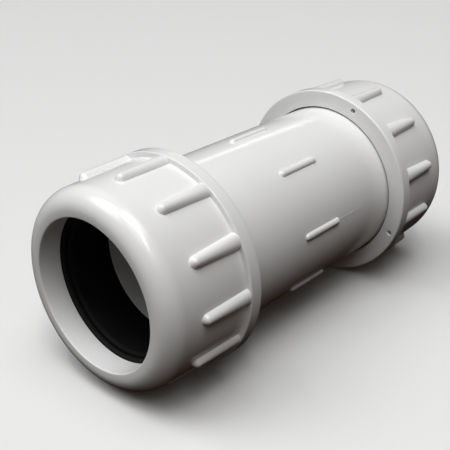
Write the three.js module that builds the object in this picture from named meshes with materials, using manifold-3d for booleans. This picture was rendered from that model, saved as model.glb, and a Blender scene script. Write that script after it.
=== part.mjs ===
// A compression coupling for two plain pipe ends: a tubular body with a thread on each end,
// and on each end a ribbed nut that squeezes a tapered gasket into the body's mouth.
// Millimetres, +Z up. The axis lies along X and the origin is at mid-length on the axis.
// Each end is built for the +X side, and the -X side is the same end turned half a turn about Z.

import * as THREE from 'three';
import { mergeVertices } from 'three/addons/utils/BufferGeometryUtils.js';
import Module from 'manifold-3d';

const wasm = await Module();
wasm.setup();

// ---- driving dimensions (radii and depths; a depth is measured inwards from the mouth plane) ----

const pipeRadius = 30.15;             // 60.3 mm outside diameter pipe
const overallLength = 194;
const aroundSteps = 40;               // facets round every turned surface

const nut = {
  length: 45.8,
  mouthRadius: pipeRadius + 1.75,
  landRadius: pipeRadius + 2.65,      // the entry widens a little towards the inside
  landDepth: 11.3,                    // thickness of the end wall
  mouthChamfer: 0.5,
  faceRadius: 34.3,                   // where the flat mouth ring meets the rounded nose
  noseDepth: 8.7,
  noseRadius: 42.5,
  wallRadius: 43.5,                   // at the flange: the outside tapers outwards from the nose
  flangeRadius: 46,
  flangeWidth: 6,
  flangeChamfer: 0.4,
  flangeRound: 0.6,
  openRadius: 38.1,                   // plain counterbore at the open end
  openDepth: 3.8,
  ribs: 12,
  ribStart: 15.9,                     // the ribs grow wider and higher from here to the flange
  ribTipWidth: 4.8,
  ribTipTopRadius: 45.3,
  ribRootWidth: 7.2,
  ribRootTopRadius: 45.9,
};

const thread = {
  pitch: 5,
  turns: 3,
  bodyRoot: 34.8,
  bodyCrest: 37.0,
  nutRoot: 37.6,
  nutCrest: 35.3,
  rootWidth: 3.0,
  crestWidth: 1.2,
  innerDepth: 41.4,                   // depth of the body ridge's inner end
};

const washer = { radius: 35.5, boreRadius: pipeRadius + 1.25, thickness: 1.6 };

const gasket = {
  boreRadius: pipeRadius - 0.45,      // grips the pipe lightly
  leadRadius: pipeRadius + 0.45,
  leadDepth: 1.1,
  collarRadius: 34.9,
  shoulderDepth: 23.7,
  tipDepth: 34.7,
};

const body = {
  barrelRadius: 37.4,
  boreRadius: pipeRadius + 0.75,
  mouthDepth: 24,
  seatRadius: 33.1,                   // wide end of the tapered seat
  seatEndDepth: 34.8,
  runoutDepth: 41.4,                  // where the thread root starts to climb to the barrel
  barrelDepth: 42.4,
  chamfer: 0.6,
  ribs: 8,
  ribLength: 23.8,
  ribWidth: 3.2,
  ribHeight: 1.2,
};

const gap = 0.3;                      // clearance between neighbours that touch
const pip = { radius: 1.25, depth: 2.6, circleRadius: 42.7, count: 4, firstAngle: 96.5 };

// How far round each nut and the body happen to stand, in degrees from +Y towards +Z
const leftNutTurn = 0;
const rightNutTurn = 14;
const bodyTurn = 37;

// ---- values worked out from the driving dimensions ----

const halfLength = overallLength / 2;
const washerDepth = nut.landDepth + gap;
const gasketDepth = washerDepth + washer.thickness + gap;
const cavityRadius = washer.radius + gap;
const step = (2 * Math.PI) / aroundSteps;

const white = new THREE.MeshStandardMaterial({ color: 0xdcdcd8, roughness: 0.28, metalness: 0 });
const black = new THREE.MeshStandardMaterial({ color: 0x0b0b0b, roughness: 0.7, metalness: 0 });
const charcoal = new THREE.MeshStandardMaterial({ color: 0x16171a, roughness: 0.5, metalness: 0 });

// ---- solids ----

function signedVolume(geometry) {
  const place = geometry.getAttribute('position');
  const corner = [new THREE.Vector3(), new THREE.Vector3(), new THREE.Vector3()];
  let sum = 0;
  for (let i = 0; i < geometry.index.count; i += 3) {
    corner.forEach((point, k) => point.fromBufferAttribute(place, geometry.index.getX(i + k)));
    sum += corner[0].dot(corner[1].cross(corner[2]));
  }
  return sum / 6;
}

// Turns a closed geometry into a solid whose faces point out.
function toSolid(geometry) {
  geometry.deleteAttribute('normal');
  geometry.deleteAttribute('uv');
  const merged = mergeVertices(geometry, 1e-4);
  const triVerts = Uint32Array.from(merged.index.array);
  if (signedVolume(merged) < 0) triVerts.reverse();
  const vertProperties = Float32Array.from(merged.getAttribute('position').array);
  return new wasm.Manifold(new wasm.Mesh({ numProp: 3, vertProperties, triVerts }));
}

function toGeometry(solid) {
  const { vertProperties, triVerts } = solid.getMesh();
  const geometry = new THREE.BufferGeometry();
  geometry.setAttribute('position', new THREE.BufferAttribute(vertProperties, 3));
  geometry.setIndex(new THREE.BufferAttribute(triVerts, 1));
  geometry.computeVertexNormals();
  return geometry;
}

// Distance along +X of a depth below the mouth plane of the +X end
const at = (depth) => halfLength - depth;

// A turned solid from a closed outline of [distance along X, radius] points
function turned(outline) {
  const points = [...outline, outline[0]].map(([x, radius]) => new THREE.Vector2(radius, x));
  return toSolid(new THREE.LatheGeometry(points, aroundSteps).rotateZ(-Math.PI / 2));
}

// A quarter of an ellipse, from [x0, r0] to [x1, r1], leaving along the radius
function quarterRound([x0, r0], [x1, r1], segments) {
  return Array.from({ length: segments + 1 }, (_, i) => {
    const angle = (i / segments) * (Math.PI / 2);
    return [x0 + (x1 - x0) * (1 - Math.cos(angle)), r0 + (r1 - r0) * Math.sin(angle)];
  });
}

// A point at an angle round the axis
const around = (x, radius, angle) =>
  new THREE.Vector3(x, radius * Math.cos(angle), radius * Math.sin(angle));

// A closed skin over a row of rings that have the same number of points
function loft(rings) {
  const size = rings[0].length;
  const last = (rings.length - 1) * size;
  const index = [];
  for (let ring = 0; ring < last; ring += size) {
    for (let j = 0; j < size; j++) {
      const k = (j + 1) % size;
      index.push(ring + j, ring + k, ring + size + j);
      index.push(ring + k, ring + size + k, ring + size + j);
    }
  }
  for (let j = 1; j < size - 1; j++) {
    index.push(0, j + 1, j);
    index.push(last, last + j, last + j + 1);
  }
  const geometry = new THREE.BufferGeometry().setFromPoints(rings.flat());
  geometry.setIndex(index);
  return toSolid(geometry);
}

// A right-hand helical ridge. Its foot is sunk in the wall, and both ends fade into it.
function helicalRidge(startX, root, crest) {
  const outward = Math.sign(crest - root);
  const slope = (thread.rootWidth - thread.crestWidth) / 2 / Math.abs(crest - root);
  const sunk = 0.6;
  const foot = root - outward * sunk;
  const hidden = root - (outward * sunk) / 2;
  const footHalf = thread.rootWidth / 2 + slope * sunk;
  const steps = thread.turns * aroundSteps;
  const fadeSteps = aroundSteps / 8;
  const rings = Array.from({ length: steps + 1 }, (_, i) => {
    const shown = Math.min(1, Math.min(i, steps - i) / fadeSteps);
    const top = hidden + (crest - hidden) * shown;
    const topHalf = footHalf - slope * Math.abs(top - foot);
    const x = startX + (thread.pitch * i) / aroundSteps;
    return [
      around(x - footHalf, foot, i * step),
      around(x - topHalf, top, i * step),
      around(x + topHalf, top, i * step),
      around(x + footHalf, foot, i * step),
    ];
  });
  return loft(rings);
}

// A rib along X with sloping flanks and rounded ends. Its foot is sunk in the wall.
// start and end each give x, the width at the foot and the radius of the top.
function rib({ start, end, footRadius }) {
  const foot = footRadius - 0.5;
  const outline = [[1, 0], [0.87, 0.45], [0.6, 0.8], [0.22, 1]];    // shares of the half width and the height
  const section = (x, { width, top }, grown) => {
    const half = (width / 2) * grown;
    const rise = (top - footRadius) * grown;
    const flank = outline.map(([across, up]) => [half * across, footRadius + rise * up]);
    const mirror = flank.map(([across, up]) => [-across, up]).toReversed();
    return [[half, foot], ...flank, ...mirror, [-half, foot]]
      .map(([across, up]) => new THREE.Vector3(x, across, up));
  };
  const inset = (width, share) => (width / 2) * (1 - Math.cos((share * Math.PI) / 2));
  const grown = (share) => Math.sin((share * Math.PI) / 2);
  const endShares = [0.3, 0.65, 1];
  return loft([
    ...endShares.map((share) => section(start.x + inset(start.width, share), start, grown(share))),
    ...endShares.toReversed().map((share) => section(end.x - inset(end.width, share), end, grown(share))),
  ]);
}

// Turns a solid that stands at the top of the axis round to an angle from +Y towards +Z
const turnTo = (solid, degrees) => solid.rotate([degrees - 90, 0, 0]);

// ---- the pieces ----

function nutShell() {
  const openX = at(nut.length);
  const flangeX = at(nut.length - nut.flangeWidth);
  return turned([
    [at(0), nut.mouthRadius + nut.mouthChamfer],
    ...quarterRound([at(0), nut.faceRadius], [at(nut.noseDepth), nut.noseRadius], 5),
    [flangeX, nut.wallRadius],
    [flangeX, nut.flangeRadius - nut.flangeChamfer],
    [flangeX - nut.flangeChamfer, nut.flangeRadius],
    ...quarterRound([openX, nut.flangeRadius - nut.flangeRound],
      [openX + nut.flangeRound, nut.flangeRadius], 2).toReversed(),
    [openX, nut.openRadius + nut.flangeChamfer],
    [openX + nut.flangeChamfer, nut.openRadius],
    [openX + nut.openDepth, nut.openRadius],
    [openX + nut.openDepth + 1, thread.nutRoot],
    [at(18), thread.nutRoot],
    [at(17), cavityRadius],
    [at(nut.landDepth), cavityRadius],
    [at(nut.landDepth), nut.landRadius],
    [at(nut.mouthChamfer), nut.mouthRadius],
  ]);
}

function makeNut(turn) {
  const ridgeX = at(thread.innerDepth) + thread.pitch / 2;
  let solid = nutShell().add(helicalRidge(ridgeX, thread.nutRoot, thread.nutCrest));
  const insideFlange = 2;               // the rib's rounded root end stays out of sight
  const rootX = at(nut.length - nut.flangeWidth) - insideFlange;
  const oneRib = rib({
    start: { x: rootX, width: nut.ribRootWidth, top: nut.ribRootTopRadius },
    end: { x: at(nut.ribStart), width: nut.ribTipWidth, top: nut.ribTipTopRadius },
    footRadius: nut.noseRadius,
  });
  for (let i = 0; i < nut.ribs; i++) {
    solid = solid.add(turnTo(oneRib, turn + (i * 360) / nut.ribs));
  }
  const pinhole = toSolid(new THREE.CylinderGeometry(pip.radius, pip.radius, 2 * pip.depth, 8)
    .rotateZ(Math.PI / 2).translate(at(nut.length), 0, pip.circleRadius));
  for (let i = 0; i < pip.count; i++) {
    solid = solid.subtract(turnTo(pinhole, turn + pip.firstAngle + (i * 360) / pip.count));
  }
  return toGeometry(solid);
}

function makeWasher() {
  return toGeometry(turned([
    [at(washerDepth), washer.boreRadius],
    [at(washerDepth), washer.radius],
    [at(washerDepth + washer.thickness), washer.radius],
    [at(washerDepth + washer.thickness), washer.boreRadius],
  ]));
}

function makeGasket() {
  const seatSlope = (body.seatRadius - body.boreRadius) / (body.seatEndDepth - body.mouthDepth);
  const coneRadius = (depth) => body.seatRadius - 1.2 * gap - seatSlope * (depth - body.mouthDepth);
  const tipChamfer = 0.35;
  return toGeometry(turned([
    [at(gasketDepth), gasket.leadRadius],
    [at(gasketDepth), gasket.collarRadius],
    [at(gasket.shoulderDepth), gasket.collarRadius],
    [at(gasket.shoulderDepth), coneRadius(gasket.shoulderDepth)],
    [at(gasket.tipDepth - tipChamfer), coneRadius(gasket.tipDepth - tipChamfer)],
    [at(gasket.tipDepth), coneRadius(gasket.tipDepth) - tipChamfer],
    [at(gasket.tipDepth), gasket.boreRadius],
    [at(gasketDepth + gasket.leadDepth), gasket.boreRadius],
  ]));
}

function makeBody() {
  const mouthX = at(body.mouthDepth);
  const outside = [
    [mouthX, thread.bodyRoot - body.chamfer],
    [mouthX - body.chamfer, thread.bodyRoot],
    [at(body.runoutDepth), thread.bodyRoot],
    [at(body.barrelDepth), body.barrelRadius],
  ];
  const inside = [
    [at(body.seatEndDepth), body.boreRadius],
    [mouthX, body.seatRadius],
  ];
  const mirrored = (points) => points.map(([x, radius]) => [-x, radius]).toReversed();
  let solid = turned([...outside, ...mirrored(outside), ...mirrored(inside), ...inside]);
  const ridge = helicalRidge(at(thread.innerDepth), thread.bodyRoot, thread.bodyCrest);
  solid = solid.add(ridge).add(ridge.rotate([0, 0, 180]));
  const top = body.barrelRadius + body.ribHeight;
  const oneRib = rib({
    start: { x: -body.ribLength / 2, width: body.ribWidth, top },
    end: { x: body.ribLength / 2, width: body.ribWidth, top },
    footRadius: body.barrelRadius - 0.1,
  });
  for (let i = 0; i < body.ribs; i++) {
    solid = solid.add(turnTo(oneRib, bodyTurn + (i * 360) / body.ribs));
  }
  return toGeometry(solid);
}

// ---- the assembly ----

function piece(name, geometry, material) {
  const mesh = new THREE.Mesh(geometry, material);
  mesh.name = name;
  return mesh;
}

function makeEnd(side, turn) {
  const end = new THREE.Group();
  end.add(piece(`${side}_nut`, makeNut(turn), white));
  end.add(piece(`${side}_thrust_washer`, makeWasher(), charcoal));
  end.add(piece(`${side}_gasket`, makeGasket(), black));
  return end;
}

const coupling = new THREE.Group();
coupling.add(piece('coupling_body', makeBody(), white));
coupling.add(makeEnd('right', rightNutTurn));
const leftEnd = makeEnd('left', leftNutTurn);
leftEnd.rotation.z = Math.PI;
coupling.add(leftEnd);

export default coupling;
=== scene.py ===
import math

import bpy
import numpy as np
from mathutils import Matrix, Vector


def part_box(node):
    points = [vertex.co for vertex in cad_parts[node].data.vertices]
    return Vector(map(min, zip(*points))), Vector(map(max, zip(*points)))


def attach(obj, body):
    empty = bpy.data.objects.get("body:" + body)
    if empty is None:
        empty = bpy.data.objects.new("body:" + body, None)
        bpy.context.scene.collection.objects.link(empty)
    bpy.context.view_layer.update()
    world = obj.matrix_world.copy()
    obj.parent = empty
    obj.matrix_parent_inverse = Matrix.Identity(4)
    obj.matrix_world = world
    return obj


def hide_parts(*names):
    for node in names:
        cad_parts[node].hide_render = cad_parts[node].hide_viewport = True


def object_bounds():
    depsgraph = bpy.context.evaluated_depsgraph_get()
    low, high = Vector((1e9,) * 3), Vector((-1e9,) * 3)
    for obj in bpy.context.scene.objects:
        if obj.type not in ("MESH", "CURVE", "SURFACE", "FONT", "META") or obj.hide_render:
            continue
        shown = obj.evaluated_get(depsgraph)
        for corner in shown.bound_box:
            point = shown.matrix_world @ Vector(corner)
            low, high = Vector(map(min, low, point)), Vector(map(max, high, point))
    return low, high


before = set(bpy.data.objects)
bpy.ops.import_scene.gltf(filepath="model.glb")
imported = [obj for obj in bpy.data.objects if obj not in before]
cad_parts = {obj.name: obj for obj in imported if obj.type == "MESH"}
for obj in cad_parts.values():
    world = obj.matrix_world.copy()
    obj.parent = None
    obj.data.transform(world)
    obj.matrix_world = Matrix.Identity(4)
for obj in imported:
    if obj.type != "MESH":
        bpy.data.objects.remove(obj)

cad_low, cad_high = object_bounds()

# ---- sizes: places come from the frame, and shapes from these values in millimetres ----

MM = 0.001
half_length = cad_high.x / MM
nut_low, nut_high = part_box("right_nut")
body_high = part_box("coupling_body")[1]
washer_low, washer_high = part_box("right_thrust_washer")
gasket_low, gasket_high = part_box("right_gasket")

nut_length = (nut_high.x - nut_low.x) / MM
body_mouth_depth = half_length - body_high.x / MM
gasket_depth = half_length - gasket_high.x / MM
gasket_tip_depth = half_length - gasket_low.x / MM
washer_depth = half_length - washer_high.x / MM
washer_end_depth = half_length - washer_low.x / MM
washer_radius = washer_high.y / MM
gasket_radius = gasket_high.y / MM

mouth_radius = 31.9
land_radius = 32.8
land_depth = 11.3
nose_depth = 8.7
nose_radius = 42.5
face_radius = 34.3
wall_radius = 43.5
flange_radius = 46.0
flange_width = 6.0
flange_front_depth = nut_length - flange_width
open_radius = 38.1                    # plain counterbore at the open end
open_depth = 3.8                      # this and the next are measured from the open end
open_slope_end = 4.8                  # where the counterbore has sloped in to the thread's root
cavity_end = 17.0                     # where the washer's and gasket's room starts to widen
thread_zone_start = 18.0              # where it has widened to the thread's root
cavity_radius = washer_radius + 0.3
nut_ribs = 12
nut_rib_start = 15.9
nut_rib_end = flange_front_depth + 2.0
nut_rib_half = (2.4, 3.6)             # half width of the foot at the tip and at the flange
nut_rib_top = (45.3, 45.9)
nut_rib_pitch_radius = 44.5           # distances round the nut are measured at this radius

thread_pitch = 5.0
thread_turns = 3
thread_inner_depth = 41.4
body_root = 34.8
body_crest = 37.0
nut_root = 37.6
nut_crest = 35.3

barrel_radius = 37.4
body_bore = 30.9
seat_radius = 33.1                    # wide end of the tapered gasket seat
seat_end = 34.8
barrel_start = 42.4                   # the thread's root climbs to the barrel over the last bit
body_ribs = 8
body_rib_half_length = 11.9
body_rib_half = 1.6
body_rib_top = 38.6
seam_ribs = (3, 7)                    # the mould's parting line follows these two ribs
seam_reach = 34.0                     # the seam has faded out this far right of the middle

washer_bore = 31.4
round_columns = 240                   # mesh columns round a washer or gasket

gasket_bore = 29.7
gasket_lead_radius = 30.7
gasket_lead_depth = 1.2
shoulder_clearance = 0.3              # between the gasket's shoulder and the body's mouth
cone_clearance = 0.36                 # between the gasket's cone and its seat

# Angles as in the CAD, in degrees from +Y towards +Z; the left end is the right end turned about Z
left_nut_turn = 0.0
right_nut_turn = 14.0
body_turn = 37.0

# Small round ejector marks in the nut's open face
pips = 4
first_pip_angle = 96.5
pip_circle_radius = 42.7
pip_radius = 1.2
pip_depth = 2.6


# ---- mesh code ----

def smooth_max(a, b, width):
    """The larger of two heights, rounded over where they meet."""
    share = np.clip(0.5 + 0.5 * (a - b) / width, 0, 1)
    return b + (a - b) * share + width * share * (1 - share)


def smooth_step(value):
    value = np.clip(value, 0, 1)
    return value * value * (3 - 2 * value)


def rounded(corners, arc_steps=5):
    """A closed outline of (depth, radius, fillet) corners, with each corner turned into an arc."""
    places = [Vector(corner[:2]) for corner in corners]
    outline = []
    for i, corner in enumerate(corners):
        here = places[i]
        back = (places[i - 1] - here).normalized()
        ahead = (places[(i + 1) % len(places)] - here).normalized()
        fillet = corner[2]
        if not fillet:
            outline.append(here)
            continue
        half_angle = back.angle(ahead) / 2
        centre = here + (back + ahead).normalized() * (fillet / math.sin(half_angle))
        start = here + back * (fillet / math.tan(half_angle)) - centre
        end = here + ahead * (fillet / math.tan(half_angle)) - centre
        sweep = start.angle(end)
        for k in range(arc_steps + 1):
            share = k / arc_steps
            arm = (start * math.sin((1 - share) * sweep) + end * math.sin(share * sweep)) / math.sin(sweep)
            outline.append(centre + arm)
    return outline


def subdivided(outline, longest):
    """Splits the outline's long edges; longest is the greatest edge length allowed near a point."""
    points = []
    for here, ahead in zip(outline, outline[1:] + outline[:1]):
        place = here.copy()
        points.append(place)
        while True:
            left = ahead - place
            allowed = longest(place)
            if left.length <= 1.3 * allowed:
                break
            place = place + left.normalized() * allowed
            points.append(place)
    return np.array([tuple(point) for point in points])


def add_piece(name, vertices, faces, material):
    mesh = bpy.data.meshes.new(name)
    mesh.from_pydata(vertices.tolist(), [], faces.tolist())
    mesh.materials.append(material)
    piece = bpy.data.objects.new(name, mesh)
    bpy.context.scene.collection.objects.link(piece)
    return piece


def wrapped_skin(name, depth, radius, angle, material):
    """A closed skin on a grid that wraps both along the outline and round the axis."""
    rows, columns = radius.shape
    x = half_length - depth
    grid = np.stack([x, radius * np.cos(angle), radius * np.sin(angle)], -1).reshape(-1, 3) * MM
    row, column = np.meshgrid(np.arange(rows), np.arange(columns), indexing="ij")
    next_row = (row + 1) % rows
    next_column = (column + 1) % columns
    corners = [row * columns + column, next_row * columns + column,
               next_row * columns + next_column, row * columns + next_column]
    faces = np.stack(corners, -1).reshape(-1, 4)
    return add_piece(name, grid, faces, material)


def turned_skin(name, outline, columns, material):
    """A plain turned piece from a closed outline of depths and radii."""
    angle = np.linspace(0, 2 * math.pi, columns, endpoint=False)
    depth = np.repeat(outline[:, :1], columns, 1)
    radius = np.repeat(outline[:, 1:], columns, 1)
    return wrapped_skin(name, depth, radius, np.broadcast_to(angle, radius.shape), material)


def loft_skin(name, rings, material):
    """A closed skin over rings of points (millimetres, X along the axis)."""
    count, size = rings.shape[:2]
    faces = []
    for ring in range(count - 1):
        for j in range(size):
            k = (j + 1) % size
            faces.append((ring * size + j, ring * size + k, (ring + 1) * size + k, (ring + 1) * size + j))
    mesh = bpy.data.meshes.new(name)
    caps = [tuple(range(size))[::-1], tuple(range((count - 1) * size, count * size))]
    mesh.from_pydata((rings.reshape(-1, 3) * MM).tolist(), [], faces + caps)
    mesh.materials.append(material)
    piece = bpy.data.objects.new(name, mesh)
    bpy.context.scene.collection.objects.link(piece)
    return piece


def faces_out(piece):
    """Turns every face outwards by the sign of the enclosed volume."""
    mesh = piece.data
    mesh.calc_loop_triangles()
    count = len(mesh.loop_triangles)
    corner = np.empty(count * 3, np.int32)
    mesh.loop_triangles.foreach_get("vertices", corner)
    place = np.empty(len(mesh.vertices) * 3)
    mesh.vertices.foreach_get("co", place)
    a, b, c = place.reshape(-1, 3)[corner.reshape(-1, 3)].transpose(1, 0, 2)
    if np.einsum("ij,ij->", a, np.cross(b, c)) < 0:
        mesh.flip_normals()
    return piece


def combined(piece, tool, operation):
    """Joins or cuts piece with tool, and removes the tool."""
    faces_out(piece)
    faces_out(tool)
    modifier = piece.modifiers.new("combine", "BOOLEAN")
    modifier.operation = operation
    modifier.solver = "MANIFOLD"
    modifier.object = tool
    graph = bpy.context.evaluated_depsgraph_get()
    old = piece.data
    piece.data = bpy.data.meshes.new_from_object(piece.evaluated_get(graph))
    piece.data.name = old.name
    piece.modifiers.clear()
    bpy.data.meshes.remove(old)
    bpy.data.objects.remove(tool)
    return piece


def finished(piece, crease_degrees=38):
    """Smooth shading, with the sharp edges kept."""
    faces_out(piece)
    piece.data.shade_smooth()
    piece.data.set_sharp_from_angle(angle=math.radians(crease_degrees))
    return piece


def placed_at_left(piece):
    """Moves a piece made for the right end to the left end: half a turn about Z."""
    for vertex in piece.data.vertices:
        vertex.co.x = -vertex.co.x
        vertex.co.y = -vertex.co.y
    return piece


# ---- ribs ----

# Columns across one rib, in half widths of its foot: closest together at the foot's edge
rib_columns = np.array([0, 0.13, 0.26, 0.38, 0.49, 0.59, 0.68, 0.76, 0.83, 0.89, 0.935,
                        0.97, 1.0, 1.03, 1.07, 1.12, 1.2, 1.32])


def across_columns(half_width, half_pitch, gap_columns):
    """Distances across one pitch, for each row's rib half width.

    The last column is left to the next pitch."""
    half_width = half_width[:, None]
    near = half_width * rib_columns
    edge = near[:, -1:]
    far = edge + (half_pitch - edge) * (np.arange(1, gap_columns + 1) / gap_columns)
    right = np.concatenate([near, far], 1)
    return np.concatenate([-right[:, :0:-1], right[:, :-1]], 1)


def rib_skin(past_end, across, half_width, top, foot):
    """Radius of a rib with a rounded section and a round end.

    past_end is the distance beyond the centre of its round end, and foot is the wall's radius."""
    shoulder_power, flank_power = 2.2, 0.6    # how full the rounded section is at its top and sides
    skirt_slope = 2.0                         # past its foot the rib drops away under the wall
    share = np.hypot(np.maximum(past_end, 0), across) / half_width
    crown = (1 - np.minimum(share, 1) ** shoulder_power) ** flank_power
    outside = skirt_slope * half_width * np.maximum(share - 1, 0)
    return foot + (top - foot) * crown - outside


def helical_ridge(name, start_x, root, crest, material):
    """A right-hand thread ridge with rounded crests. Its foot is sunk and its ends fade into the wall."""
    steps_per_turn = 96
    outward = math.copysign(1, crest - root)
    sunk = 0.5
    half_root, half_crest, crest_round = 1.5, 0.6, 0.3
    end_fade = 0.16                   # of a turn
    slope = (half_root - half_crest) / abs(crest - root)
    steps = thread_turns * steps_per_turn
    share = np.arange(steps + 1) / steps_per_turn
    angle = share * 2 * math.pi
    shown = smooth_step(np.minimum(share, thread_turns - share) / end_fade)
    height = sunk * 0.4 + (abs(crest - root) + sunk * 0.6) * shown
    foot = root - outward * sunk
    foot_half = half_root + slope * sunk
    offsets = []
    for side in (-1, 1):
        profile = [(foot_half, 0 * height),
                   (foot_half - slope * (height - crest_round), height - crest_round),
                   (foot_half - slope * height - crest_round * 0.35, height - crest_round * 0.25),
                   (foot_half - slope * height - crest_round, height)]
        ordered = profile if side < 0 else profile[::-1]
        offsets += [(side * width, rise) for width, rise in ordered]
    rings = np.zeros((steps + 1, len(offsets), 3))
    for j, (offset, rise) in enumerate(offsets):
        radius = foot + outward * rise
        rings[:, j, 0] = start_x + thread_pitch * share + offset
        rings[:, j, 1] = radius * np.cos(angle)
        rings[:, j, 2] = radius * np.sin(angle)
    return loft_skin(name, rings, material)


# ---- materials ----

def new_material(name):
    material = bpy.data.materials.new(name)
    material.use_nodes = True
    nodes = material.node_tree.nodes
    shader = nodes["Principled BSDF"]
    return material, nodes, material.node_tree.links, shader


def noise(nodes, links, coordinates, scale, detail=2.0, roughness=0.5):
    node = nodes.new("ShaderNodeTexNoise")
    node.inputs["Scale"].default_value = scale
    node.inputs["Detail"].default_value = detail
    node.inputs["Roughness"].default_value = roughness
    links.new(coordinates, node.inputs["Vector"])
    return node.outputs["Fac"]


def ramp(nodes, links, value, stops):
    """A colour or grey ramp through (position, colour) stops."""
    node = nodes.new("ShaderNodeValToRGB")
    elements = node.color_ramp.elements
    while len(elements) < len(stops):
        elements.new(0.5)
    for element, (position, color) in zip(elements, stops):
        element.position = position
        element.color = (*color, 1)
    links.new(value, node.inputs["Fac"])
    return node.outputs["Color"]


def mixed(nodes, links, factor, first, second, blend="MIX"):
    node = nodes.new("ShaderNodeMix")
    node.data_type = "RGBA"
    node.blend_type = blend
    for socket, value in (("Factor_Float", factor), ("A_Color", first), ("B_Color", second)):
        target = next(s for s in node.inputs if s.identifier == socket)
        if isinstance(value, bpy.types.NodeSocket):
            links.new(value, target)
        else:
            target.default_value = value
    return next(s for s in node.outputs if s.identifier == "Result_Color")


def bumped(nodes, links, height, distance, strength, normal=None):
    node = nodes.new("ShaderNodeBump")
    node.inputs["Distance"].default_value = distance
    node.inputs["Strength"].default_value = strength
    links.new(height, node.inputs["Height"])
    if normal:
        links.new(normal, node.inputs["Normal"])
    return node.outputs["Normal"]


def pvc(name, clean, shaded):
    """Glossy white moulded PVC: faint clouding, a few dark specks, and a skin that is not quite flat."""
    material, nodes, links, shader = new_material(name)
    place = nodes.new("ShaderNodeTexCoord").outputs["Object"]
    clouds = noise(nodes, links, place, 22, 3)
    base = ramp(nodes, links, clouds, [(0.3, shaded), (0.7, clean)])
    cells = nodes.new("ShaderNodeTexVoronoi")
    cells.inputs["Scale"].default_value = 57
    links.new(place, cells.inputs["Vector"])
    dot = ramp(nodes, links, cells.outputs["Distance"], [(0.018, (1, 1, 1)), (0.03, (0, 0, 0))])
    chosen = ramp(nodes, links, cells.outputs["Color"], [(0.24, (1, 1, 1)), (0.25, (0, 0, 0))])
    speck = mixed(nodes, links, 1.0, dot, chosen, "MULTIPLY")
    links.new(mixed(nodes, links, speck, base, (0.16, 0.14, 0.12, 1)), shader.inputs["Base Color"])
    gloss = noise(nodes, links, place, 70, 4, 0.6)
    roughness = ramp(nodes, links, gloss, [(0.3, (0.14,) * 3), (0.75, (0.2,) * 3)])
    links.new(roughness, shader.inputs["Roughness"])
    waves = noise(nodes, links, place, 75, 2)
    grain = noise(nodes, links, place, 1500, 2)
    skin = bumped(nodes, links, waves, 0.0003, 0.2)
    links.new(bumped(nodes, links, grain, 0.00002, 0.35, skin), shader.inputs["Normal"])
    shader.inputs["IOR"].default_value = 1.53
    return material


def rubber(name):
    """Black gasket rubber: dull, with a faint bloom and a fine moulded grain."""
    material, nodes, links, shader = new_material(name)
    place = nodes.new("ShaderNodeTexCoord").outputs["Object"]
    bloom = noise(nodes, links, place, 90, 5, 0.6)
    links.new(ramp(nodes, links, bloom, [(0.35, (0.0025, 0.0026, 0.0025)), (0.8, (0.005, 0.0052, 0.005))]),
              shader.inputs["Base Color"])
    roughness = ramp(nodes, links, bloom, [(0.3, (0.6,) * 3), (0.8, (0.8,) * 3)])
    links.new(roughness, shader.inputs["Roughness"])
    grain = noise(nodes, links, place, 2200, 3)
    links.new(bumped(nodes, links, grain, 0.00004, 0.5), shader.inputs["Normal"])
    shader.inputs["Specular IOR Level"].default_value = 0.12
    return material


def slip_plastic(name):
    """Dark smooth slip-ring plastic with faint turning marks."""
    material, nodes, links, shader = new_material(name)
    place = nodes.new("ShaderNodeTexCoord").outputs["Object"]
    marks = noise(nodes, links, place, 400, 3, 0.6)
    links.new(ramp(nodes, links, marks, [(0.3, (0.006, 0.0065, 0.0065)), (0.8, (0.010, 0.0105, 0.0105))]),
              shader.inputs["Base Color"])
    roughness = ramp(nodes, links, marks, [(0.3, (0.55,) * 3), (0.8, (0.7,) * 3)])
    links.new(roughness, shader.inputs["Roughness"])
    links.new(bumped(nodes, links, marks, 0.00003, 0.4), shader.inputs["Normal"])
    shader.inputs["Specular IOR Level"].default_value = 0.15
    return material


body_pvc = pvc("body_pvc", (0.80, 0.80, 0.80), (0.77, 0.77, 0.77))
nut_pvc = pvc("nut_pvc", (0.80, 0.80, 0.80), (0.775, 0.775, 0.775))
gasket_rubber = rubber("gasket_rubber")
washer_plastic = slip_plastic("washer_plastic")


# ---- the pieces ----

def nut_outline():
    """The nut's outline as rows of (depth, radius), and how many of them lie on the outside."""
    nose = []
    nose_steps = 22
    for i in range(1, nose_steps + 1):
        turn = i / nose_steps * math.pi / 2
        nose.append((nose_depth * (1 - math.cos(turn)),
                     face_radius + (nose_radius - face_radius) * math.sin(turn), 0))
    outside = [(0, mouth_radius, 0.45), (0, face_radius, 0), *nose,
               (flange_front_depth, wall_radius, 0.4), (flange_front_depth, flange_radius, 0.5)]
    inside = [(nut_length, flange_radius, 0.65), (nut_length, open_radius, 0.3),
              (nut_length - open_depth, open_radius, 0.3), (nut_length - open_slope_end, nut_root, 0.3),
              (thread_zone_start, nut_root, 0.3), (cavity_end, cavity_radius, 0.3),
              (land_depth, cavity_radius, 0.3), (land_depth, land_radius, 0.25)]
    rib_zone = (nut_rib_start - 0.8, nut_rib_start + 3.4)

    def longest(place):
        """Rows are fine where a rib begins and where it meets the flange."""
        depth, radius = place
        if radius > face_radius + 5 and depth < nut_length - 5:
            if rib_zone[0] < depth < rib_zone[1] or depth > flange_front_depth - 0.8:
                return 0.22
            return 1.2
        return 1.6

    outline = subdivided(rounded(outside + inside), longest)
    edge = np.argmax((outline[:, 0] > flange_front_depth + 1.5) & (outline[:, 1] > flange_radius - 1))
    return outline, int(edge)


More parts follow.
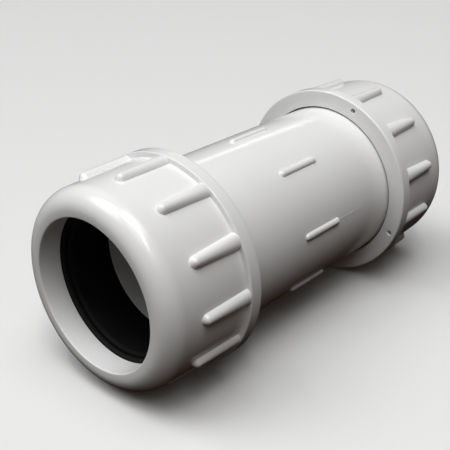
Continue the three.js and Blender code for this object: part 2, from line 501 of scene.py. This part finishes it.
def make_nut(name, turn):
    rib_blend = 0.5                   # how softly a rib meets the wall
    outline, edge = nut_outline()
    rows = len(outline)
    half_pitch = nut_rib_pitch_radius * math.pi / nut_ribs
    on_outside = (np.arange(rows) < edge)[:, None]
    taper = np.clip((outline[:, 0] - nut_rib_start) / (nut_rib_end - nut_rib_start), 0, 1)
    taper = np.where(on_outside[:, 0], taper, 1)
    half_width = nut_rib_half[0] + (nut_rib_half[1] - nut_rib_half[0]) * taper
    across = across_columns(half_width, half_pitch, 6)
    depth = np.repeat(outline[:, :1], across.shape[1], 1)
    radius = np.repeat(outline[:, 1:], across.shape[1], 1)
    taper = taper[:, None]
    half_width = half_width[:, None]
    top = nut_rib_top[0] + (nut_rib_top[1] - nut_rib_top[0]) * taper
    wall = nose_radius + (wall_radius - nose_radius) * taper

    def skin(at_depth):
        past_tip = nut_rib_start + nut_rib_half[0] - at_depth
        return rib_skin(past_tip, across, half_width, top, wall)

    # On the flange's front face the rows stand one above another: a rib spreads them along its top
    on_face = on_outside & (np.abs(depth - flange_front_depth) < 0.55) & (radius > wall_radius - 0.1)
    order = np.cumsum(on_face[:, 0]) / max(1, on_face[:, 0].sum())
    spread_to = flange_front_depth - 0.5 + 0.8 * order[:, None]
    covered = smooth_step((skin(depth) - radius) / 0.5) * on_face
    depth = depth + covered * (spread_to - depth)
    lifted = np.minimum(smooth_max(skin(depth), radius, rib_blend), flange_radius)
    radius = np.where(on_outside & (depth > nose_depth - 2), lifted, radius)

    angle = across / nut_rib_pitch_radius
    starts = math.radians(turn) + 2 * math.pi * np.arange(nut_ribs) / nut_ribs
    all_angles = np.concatenate([angle + start for start in starts], 1)
    nut = wrapped_skin(name, np.tile(depth, (1, nut_ribs)), np.tile(radius, (1, nut_ribs)),
                       all_angles, nut_pvc)
    ridge_x = half_length - thread_inner_depth + thread_pitch / 2
    combined(nut, helical_ridge("ridge", ridge_x, nut_root, nut_crest, nut_pvc), "UNION")
    for i in range(pips):
        cutter = pip_cutter(math.radians(turn + first_pip_angle + i * 360 / pips))
        combined(nut, cutter, "DIFFERENCE")
    return finished(nut)


def pip_cutter(angle):
    """A small round-bottomed pin that cuts an ejector mark into the nut's open face."""
    sides = 24
    profile = [(-0.5, 1.25), (0.0, 1.12), (0.12, 1.0), (pip_depth * 0.7, 0.95), (pip_depth, 0.6)]
    spin = np.linspace(0, 2 * math.pi, sides, endpoint=False)
    rings = np.zeros((len(profile), sides, 3))
    for i, (into, share) in enumerate(profile):
        off_centre = pip_circle_radius + pip_radius * share * np.cos(spin)
        sideways = pip_radius * share * np.sin(spin)
        rings[i, :, 0] = half_length - nut_length + into
        rings[i, :, 1] = off_centre * math.cos(angle) - sideways * math.sin(angle)
        rings[i, :, 2] = off_centre * math.sin(angle) + sideways * math.cos(angle)
    return loft_skin("pip", rings, nut_pvc)


def body_outline():
    far = 2 * half_length
    mouth = body_mouth_depth
    near_end = [(seat_end, body_bore, 0.4), (mouth, seat_radius, 0.3), (mouth, body_root, 0.7),
                (thread_inner_depth, body_root, 0.3), (barrel_start, barrel_radius, 0.5)]
    far_end = [(far - depth, radius, fillet) for depth, radius, fillet in near_end[::-1]]

    def longest(place):
        """Rows are fine at the ribs' ends."""
        depth, radius = place
        from_middle = abs(depth - half_length)
        if radius > barrel_radius - 0.5 and from_middle < body_rib_half_length + 0.8:
            return 0.25 if from_middle > body_rib_half_length - 3 else 1.5
        return 2.0

    return subdivided(rounded(near_end + far_end), longest)


def make_body(name):
    outline = body_outline()
    half_pitch = barrel_radius * math.pi / body_ribs
    half_width = np.full(len(outline), body_rib_half)
    across = across_columns(half_width, half_pitch, 8)
    depth = np.repeat(outline[:, :1], across.shape[1], 1)
    radius = np.repeat(outline[:, 1:], across.shape[1], 1)
    past_end = np.abs(depth - half_length) - (body_rib_half_length - body_rib_half)
    skin = rib_skin(past_end, across, body_rib_half, body_rib_top, barrel_radius)
    on_barrel = radius > barrel_radius - 0.02
    ribbed = np.where(on_barrel, smooth_max(skin, radius, 0.4), radius)
    # A fine seam beyond the right end of two opposite ribs, which soon fades
    seam_height, seam_width = 0.1, 0.22
    fade_in, fade_out = 5, 12
    seam_shown = (smooth_step((half_length - depth) / fade_in)
                  * smooth_step((depth - half_length + seam_reach) / fade_out))
    seam = seam_height * np.exp(-(across / seam_width) ** 2) * on_barrel * seam_shown
    radii = [ribbed + seam if i in seam_ribs else ribbed for i in range(body_ribs)]
    starts = math.radians(body_turn) + 2 * math.pi * np.arange(body_ribs) / body_ribs
    angles = [across / barrel_radius + start for start in starts]
    body = wrapped_skin(name, np.tile(depth, (1, body_ribs)), np.concatenate(radii, 1),
                        np.concatenate(angles, 1), body_pvc)
    ridge_x = half_length - thread_inner_depth
    combined(body, helical_ridge("ridge", ridge_x, body_root, body_crest, body_pvc), "UNION")
    left_ridge = placed_at_left(helical_ridge("ridge", ridge_x, body_root, body_crest, body_pvc))
    combined(body, left_ridge, "UNION")
    return finished(body)


def make_washer(name):
    outline = rounded([(washer_depth, washer_bore, 0.3), (washer_depth, washer_radius, 0.3),
                       (washer_end_depth, washer_radius, 0.3), (washer_end_depth, washer_bore, 0.3)])
    outline = subdivided(outline, lambda place: 1.0)
    return finished(turned_skin(name, outline, round_columns, washer_plastic))


def make_gasket(name):
    shoulder = body_mouth_depth - shoulder_clearance
    slope = (seat_radius - body_bore) / (seat_end - body_mouth_depth)
    cone = seat_radius - cone_clearance - slope * (shoulder - body_mouth_depth)
    tip = seat_radius - cone_clearance - slope * (gasket_tip_depth - body_mouth_depth)
    outline = rounded([(gasket_depth, gasket_lead_radius, 0.4), (gasket_depth, gasket_radius, 0.8),
                       (shoulder, gasket_radius, 0.5), (shoulder, cone, 0.3),
                       (gasket_tip_depth, tip, 0.25), (gasket_tip_depth, gasket_bore, 0.2),
                       (gasket_depth + gasket_lead_depth, gasket_bore, 0.8)])
    outline = subdivided(outline, lambda place: 1.2)
    return finished(turned_skin(name, outline, round_columns, gasket_rubber))


def settle(piece, body, node):
    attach(piece, body)
    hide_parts(node)


settle(make_body("body_skin"), "fitting", "coupling_body")
for side, turn in (("left", left_nut_turn), ("right", right_nut_turn)):
    nut = make_nut(f"{side}_nut_skin", turn)
    washer = make_washer(f"{side}_washer_skin")
    gasket = make_gasket(f"{side}_gasket_skin")
    if side == "left":
        for piece in (nut, washer, gasket):
            placed_at_left(piece)
    settle(nut, f"{side}_nut", f"{side}_nut")
    settle(washer, f"{side}_washer", f"{side}_thrust_washer")
    settle(gasket, "fitting", f"{side}_gasket")


# ---- floor, light and camera ----

def make_floor():
    size = 20.0
    floor_z = cad_low.z
    corners = np.array([(-size, -size, floor_z), (size, -size, floor_z),
                        (size, size, floor_z), (-size, size, floor_z)])
    material, _, _, shader = new_material("floor")
    shader.inputs["Base Color"].default_value = (0.72, 0.72, 0.72, 1)
    shader.inputs["Roughness"].default_value = 0.7
    floor = add_piece("floor", corners, np.array([(0, 1, 2, 3)]), material)
    # The floor throws no light back up, so the undersides fall dark as they do above a dark bench
    floor.visible_diffuse = False
    floor.visible_glossy = False


def area_light(name, direction, distance, size, power, color=(1, 1, 1), along=None):
    """A rectangular light that faces the object. along is the direction of its long side."""
    light = bpy.data.lights.new(name, "AREA")
    light.shape = "RECTANGLE"
    light.size, light.size_y = size
    light.energy = power
    light.color = color
    lamp = bpy.data.objects.new(name, light)
    bpy.context.scene.collection.objects.link(lamp)
    back = Vector(direction).normalized()
    lamp.location = back * distance
    side = Vector(along) if along else Vector((-back.y, back.x, 0))
    side = (side - back * side.dot(back)).normalized()
    up = back.cross(side)
    lamp.rotation_mode = "QUATERNION"
    lamp.rotation_quaternion = Matrix((side, up, back)).transposed().to_quaternion()
    return lamp


def glow_towards(nodes, links, direction, inner, outer, color):
    """The sky's light about a direction: the full color out to the inner angle, none past the outer one."""
    place = nodes.new("ShaderNodeTexCoord").outputs["Generated"]
    dot = nodes.new("ShaderNodeVectorMath")
    dot.operation = "DOT_PRODUCT"
    links.new(place, dot.inputs[0])
    dot.inputs[1].default_value = Vector(direction).normalized()
    fade = nodes.new("ShaderNodeMapRange")
    fade.interpolation_type = "SMOOTHSTEP"
    fade.inputs["From Min"].default_value = math.cos(math.radians(outer))
    fade.inputs["From Max"].default_value = math.cos(math.radians(inner))
    links.new(dot.outputs["Value"], fade.inputs["Value"])
    return mixed(nodes, links, fade.outputs["Result"], (0, 0, 0, 1), (*color, 1))


def make_sky():
    """A studio sky: four soft boxes and a dim warm light from low in front.

    As the camera sees them, the boxes are overhead, high on the left and high in front. Each row has a
    direction, the angles from it in degrees between which the light fades out, and its colour."""
    world = bpy.data.worlds.new("studio")
    world.use_nodes = True
    nodes, links = world.node_tree.nodes, world.node_tree.links
    total = nodes.new("ShaderNodeRGB").outputs["Color"]
    total.default_value = (0.004, 0.0032, 0.0025, 1)    # from all round
    for direction, inner, outer, color in (
            ((-0.05, -0.15, 0.99), 8, 24, (4.3, 4.3, 4.3)),
            ((-0.42, 0.45, 0.79), 8, 24, (4.3, 4.3, 4.3)),
            ((-0.42, -0.20, 0.88), 8, 24, (1.7, 1.7, 1.7)),
            ((-0.42, -0.50, 0.76), 8, 24, (1.1, 1.1, 1.1)),
            ((-0.35, -0.90, -0.25), 25, 75, (0.032, 0.016, 0.009))):
        glow = glow_towards(nodes, links, direction, inner, outer, color)
        total = mixed(nodes, links, 1.0, total, glow, "ADD")
    # Behind the floor's edge the camera sees a pale wall, which lights nothing
    straight = nodes.new("ShaderNodeLightPath").outputs["Is Camera Ray"]
    wall_color = (0.62, 0.62, 0.62, 1)
    shown = mixed(nodes, links, straight, total, wall_color)
    links.new(shown, nodes["Background"].inputs["Color"])
    bpy.context.scene.world = world


def make_light():
    make_sky()
    distance = 1.2
    tube_color, tube_power = (1, 1, 0.98), 1.7
    area_light("tube_a", (-0.31, 0.15, 0.93), distance, (0.55, 0.04), tube_power, tube_color,
               (-0.55, -0.83, 0))
    area_light("tube_b", (-0.36, -0.40, 0.84), distance, (0.6, 0.04), tube_power, tube_color,
               (-0.3, -0.32, -0.29))
    # This one only shows as the streak along the barrel, and lights nothing
    streak = area_light("streak", (0.72, 0.56, 0.43), distance, (0.34, 0.02), 0.2, (1, 1, 0.93))
    streak.visible_diffuse = False


def make_camera():
    lens = bpy.data.cameras.new("camera")
    lens.sensor_width = 36
    lens.lens = 66.8
    lens.shift_x = -0.0005
    lens.shift_y = 0.0097
    camera = bpy.data.objects.new("camera", lens)
    bpy.context.scene.collection.objects.link(camera)
    camera.location = (-0.26507, -0.21846, 0.16445)
    turn, tilt = math.radians(48.173), math.radians(26.589)
    ahead = Vector((math.sin(turn) * math.cos(tilt), math.cos(turn) * math.cos(tilt), -math.sin(tilt)))
    camera.rotation_mode = "QUATERNION"
    camera.rotation_quaternion = ahead.to_track_quat("-Z", "Y")
    bpy.context.scene.camera = camera


make_floor()
make_light()
make_camera()
bpy.context.scene.view_settings.view_transform = "Standard"    # colours as they are, with no film curve
